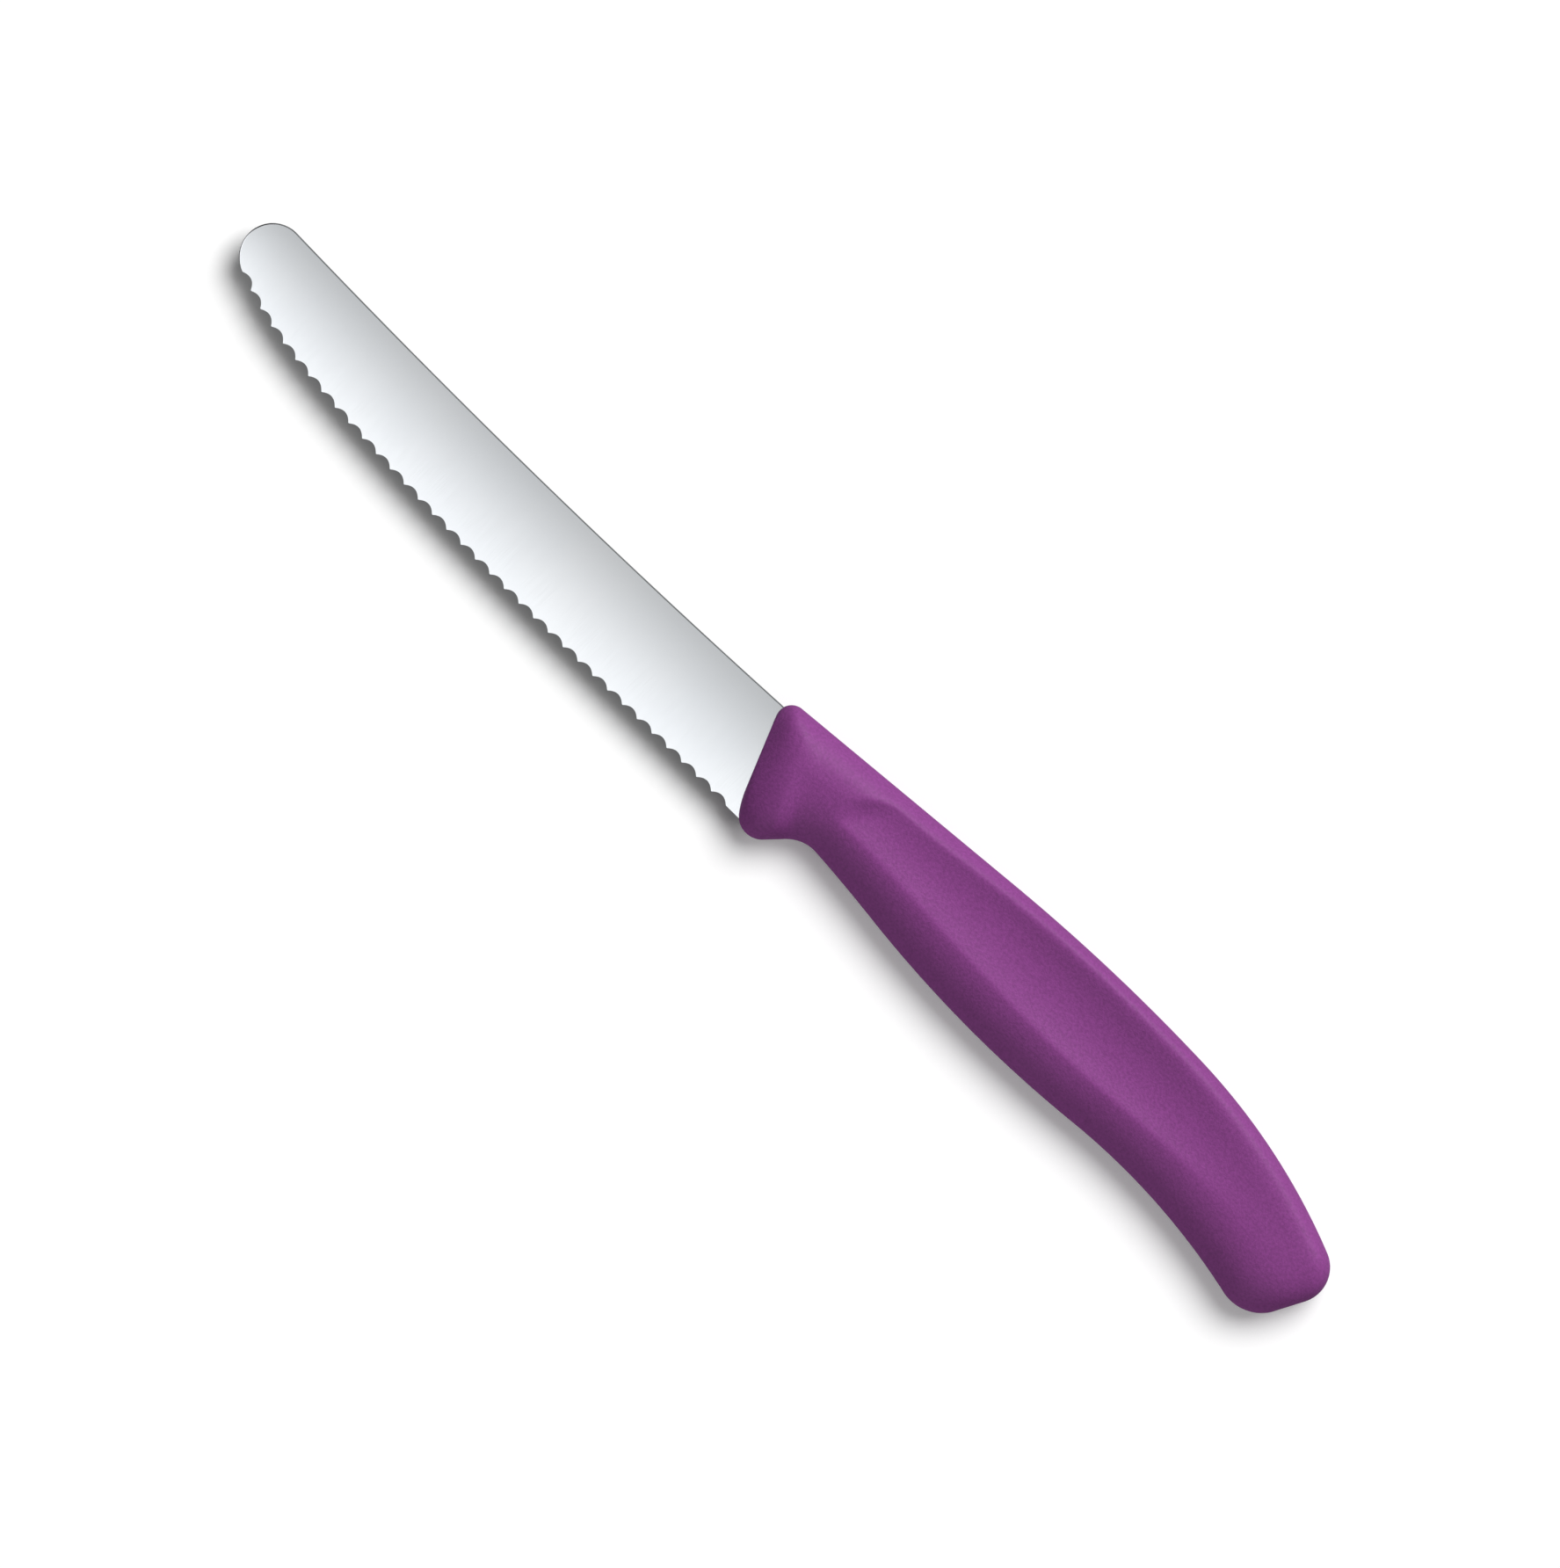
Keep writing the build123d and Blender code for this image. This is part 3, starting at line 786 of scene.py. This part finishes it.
def make_steel():
    """Steel: grinding lines in gloss and bump, a slow cloud in its tone, and painted shade on its steep rim.
    """
    material, tree, shader = new_material("glazed_steel")
    grain = add_grain(tree, STEEL_STRETCH, *STEEL_GRAIN_SCALES)
    shader.inputs["Metallic"].default_value = 1.0
    ground = add_mix(tree, add_range(tree, grain.outputs["Cloud"], 0, 1), STEEL_DARK, STEEL_LIGHT)
    geometry = tree.nodes.new("ShaderNodeNewGeometry")
    split = tree.nodes.new("ShaderNodeSeparateXYZ")
    tree.links.new(geometry.outputs["Normal"], split.inputs[0])
    upright = tree.nodes.new("ShaderNodeMath")
    upright.operation = "ABSOLUTE"
    tree.links.new(split.outputs["Z"], upright.inputs[0])
    # Painted shade: where the surface stands steep, the rim's colour turns dark grey, a dark line round the
    # blade.
    painted_rim_shade = add_range(tree, upright.outputs[0], 1, 0, *STEEP_NORMAL_HEIGHTS)
    tree.links.new(add_mix(tree, painted_rim_shade, ground, STEEL_PAINTED_RIM_SHADE), shader.inputs["Base Color"])
    tree.links.new(add_range(tree, grain.outputs["Height"], *STEEL_ROUGHNESS), shader.inputs["Roughness"])
    bump = add_node(tree, "ShaderNodeBump", **STEEL_RELIEF)
    tree.links.new(grain.outputs["Height"], bump.inputs["Height"])
    tree.links.new(bump.outputs["Normal"], shader.inputs["Normal"])
    return material


blade.data.materials.append(make_steel())

# %% [markdown]
# ## Floor and light
# The picture looks like most product pictures on white paper. Two lamps light the handle: a low one on
# the spine side shapes it, bright upper edge and dark belly, and a weak one from the edge side fills the
# dark. Two more light the paper only, and make the shadow close along the knife's lower left. The last
# of them is shaded by the blade alone, so the handle's own shadow stays light. Telling each lamp what it
# lights lets each be set by itself. The paper is white to the camera, and darker to the light that
# bounces off it, so that it doesn't wash out the handle's underside.

# %% Floor
FLOOR_SIZE = 4.0
FLOOR_CELLS = 8
PAPER_SEEN = (1.0, 1.0, 1.0)
PAPER_BOUNCE = (0.25, 0.25, 0.25)


def make_floor():
    """Flat grid under the knife: x and y from minus half to plus half its size, z zero."""
    side = np.linspace(-FLOOR_SIZE / 2, FLOOR_SIZE / 2, FLOOR_CELLS + 1)
    x, y = np.meshgrid(side, side)
    points = np.stack([x, y, np.zeros_like(x)], axis=-1).reshape(-1, 3)
    mesh = bpy.data.meshes.new("paper_floor")
    mesh.from_pydata(points.tolist(), [], grid_faces(FLOOR_CELLS + 1, FLOOR_CELLS + 1, False).tolist())
    floor = bpy.data.objects.new("paper_floor", mesh)
    bpy.context.scene.collection.objects.link(floor)
    return floor


def make_paper():
    """Matte paper: white where the camera sees it, grey to bounced light."""
    material, tree, shader = new_material("white_paper")
    seen = tree.nodes.new("ShaderNodeLightPath")
    tree.links.new(
        add_mix(tree, seen.outputs["Is Camera Ray"], PAPER_BOUNCE, PAPER_SEEN), shader.inputs["Base Color"])
    shader.inputs["Roughness"].default_value = 1.0
    shader.inputs["Specular IOR Level"].default_value = 0.0
    return material


floor = make_floor()
floor.data.materials.append(make_paper())

# %% [markdown]
# ## What the steel sees
# Steel shows the room, so the room is part of its look. To mirror-like rays it is a bright card over the
# knife, darker on the spine side, which gives the blade its slow fall from light to grey and a dark line
# along its spine. Bright walls stand far behind the spine and behind the butt: they hardly show straight
# from above, and they keep the blade from going dark when it is looked at from a low place. To the camera
# the world is white, and to matte surfaces it is a weak, even light.

# %% World
SKY_DIFFUSE = 0.20
STUDIO_SPINE_SIDE = 0.09
STUDIO_EDGE_SIDE = 0.95
WALL = 0.95
BUTT_WALL_EDGES = (-0.65, -0.25)
SPINE_WALL_EDGES = (-0.80, -0.60)
CARD = 1.25
CARD_EDGES = (-0.115, 0.148, 0.34, 0.50)


def make_world():
    """Sky whose strength depends on who asks: the camera, a mirror-like ray or a diffuse one.

    The card's strength rises across its first two edges, measured as the sideways part of the
    direction, and falls again across the last two. Where a wall is brighter, the wall shows.
    """
    world = bpy.data.worlds.new("studio")
    bpy.context.scene.world = world
    world.use_nodes = True
    tree = world.node_tree
    background = tree.nodes["Background"]
    path = tree.nodes.new("ShaderNodeLightPath")
    coordinates = tree.nodes.new("ShaderNodeTexCoord")
    split = tree.nodes.new("ShaderNodeSeparateXYZ")
    tree.links.new(coordinates.outputs["Generated"], split.inputs[0])
    near = add_range(tree, split.outputs["Y"], STUDIO_SPINE_SIDE, CARD, *CARD_EDGES[:2])
    far = add_range(tree, split.outputs["Y"], CARD, STUDIO_EDGE_SIDE, *CARD_EDGES[2:])
    for edge in (near, far):
        edge.node.interpolation_type = "SMOOTHSTEP"
    strip = tree.nodes.new("ShaderNodeMath")
    strip.operation = "MINIMUM"
    tree.links.new(near, strip.inputs[0])
    tree.links.new(far, strip.inputs[1])
    room = strip.outputs[0]
    for axis, edges in (("X", BUTT_WALL_EDGES), ("Y", SPINE_WALL_EDGES)):
        brighter = tree.nodes.new("ShaderNodeMath")
        brighter.operation = "MAXIMUM"
        tree.links.new(room, brighter.inputs[0])
        tree.links.new(add_range(tree, split.outputs[axis], WALL, 0, *edges), brighter.inputs[1])
        room = brighter.outputs[0]
    glossy = tree.nodes.new("ShaderNodeMix")
    glossy.inputs["A"].default_value = SKY_DIFFUSE
    tree.links.new(path.outputs["Is Glossy Ray"], glossy.inputs["Factor"])
    tree.links.new(room, glossy.inputs["B"])
    seen = tree.nodes.new("ShaderNodeMath")
    seen.operation = "MAXIMUM"
    tree.links.new(path.outputs["Is Camera Ray"], seen.inputs[0])
    tree.links.new(path.outputs["Is Transmission Ray"], seen.inputs[1])
    final = tree.nodes.new("ShaderNodeMix")
    final.inputs["B"].default_value = 1.0
    tree.links.new(seen.outputs[0], final.inputs["Factor"])
    tree.links.new(glossy.outputs["Result"], final.inputs["A"])
    tree.links.new(final.outputs["Result"], background.inputs["Strength"])
    background.inputs["Color"].default_value = (1, 1, 1, 1)


make_world()

# %% Lamps
SHAPING_LAMP = {"turn": 4.5, "elevation": 33.0, "spread": 20.0, "strength": 4.15}
FILL_LAMP = {"turn": 166.0, "elevation": 34.0, "spread": 60.0, "strength": 0.85}
SHADOW_LAMP = {"turn": 4.0, "elevation": 58.0, "spread": 38.0, "strength": 2.35}
LIFTING_LAMP = {"turn": 4.0, "elevation": 68.0, "spread": 38.0, "strength": 0.76}


def collected(name, pieces):
    """Collection that holds these pieces as well as the scene does."""
    collection = bpy.data.collections.new(name)
    for piece in pieces:
        collection.objects.link(piece)
    return collection


def make_lamp(name, lit, turn, elevation, spread, strength, shaded_by=None):
    """Far soft lamp that lights only the given pieces, and may be shaded by chosen pieces only.

    It stands on the spine side, turned from there towards the butt, and shines down at its elevation.
    """
    data = bpy.data.lights.new(name, "SUN")
    data.energy = strength
    data.angle = np.radians(spread)
    lamp = bpy.data.objects.new(name, data)
    heading = np.arctan2(-np.cos(np.radians(turn)), -np.sin(np.radians(turn)))
    lamp.rotation_euler = (0, np.pi / 2 - np.radians(elevation), heading)
    bpy.context.scene.collection.objects.link(lamp)
    lamp.light_linking.receiver_collection = collected("lit_by_" + name, lit)
    if shaded_by:
        lamp.light_linking.blocker_collection = collected("shading_" + name, shaded_by)


make_lamp("shaping_lamp", [handle], **SHAPING_LAMP)
make_lamp("fill_lamp", [handle], **FILL_LAMP)
make_lamp("shadow_lamp", [floor], **SHADOW_LAMP)
make_lamp("lifting_lamp", [floor], **LIFTING_LAMP, shaded_by=[blade])

# %% [markdown]
# ## Camera
# The picture was taken from straight above with a long lens, so lines stay parallel. The knife lies
# across the frame from the upper left to the lower right: the camera is turned about its own axis by
# the angle that was measured along the spine.

# %% Camera
PIXELS_PER_MM = 7.59
FRAME_PIXELS = (1775, 1784)
SPINE_FRONT_PIXEL = (889.0, 801.5)
SPINE_ANGLE = 44.18
CAMERA_HEIGHT = 0.6


def make_camera():
    """Camera above the point that falls on the frame's middle, turned so that the tip is upper left."""
    turn = np.radians(180 + SPINE_ANGLE)
    right = np.array([np.cos(turn), np.sin(turn)])
    down = np.array([np.sin(turn), -np.cos(turn)])
    offset = (np.array(FRAME_PIXELS) / 2 - np.array(SPINE_FRONT_PIXEL)) / PIXELS_PER_MM
    middle = (offset[0] * right + offset[1] * down + drawing_shift[:2]) * MM
    data = bpy.data.cameras.new("overhead")
    data.type = "ORTHO"
    data.ortho_scale = max(FRAME_PIXELS) / PIXELS_PER_MM * MM
    camera = bpy.data.objects.new("overhead", data)
    camera.location = (*middle, CAMERA_HEIGHT)
    camera.rotation_euler = (0, 0, turn)
    bpy.context.scene.collection.objects.link(camera)
    bpy.context.scene.camera = camera
    return middle


print("camera over", make_camera().round(5))

# %% Colours as written
bpy.context.scene.view_settings.view_transform = "Standard"
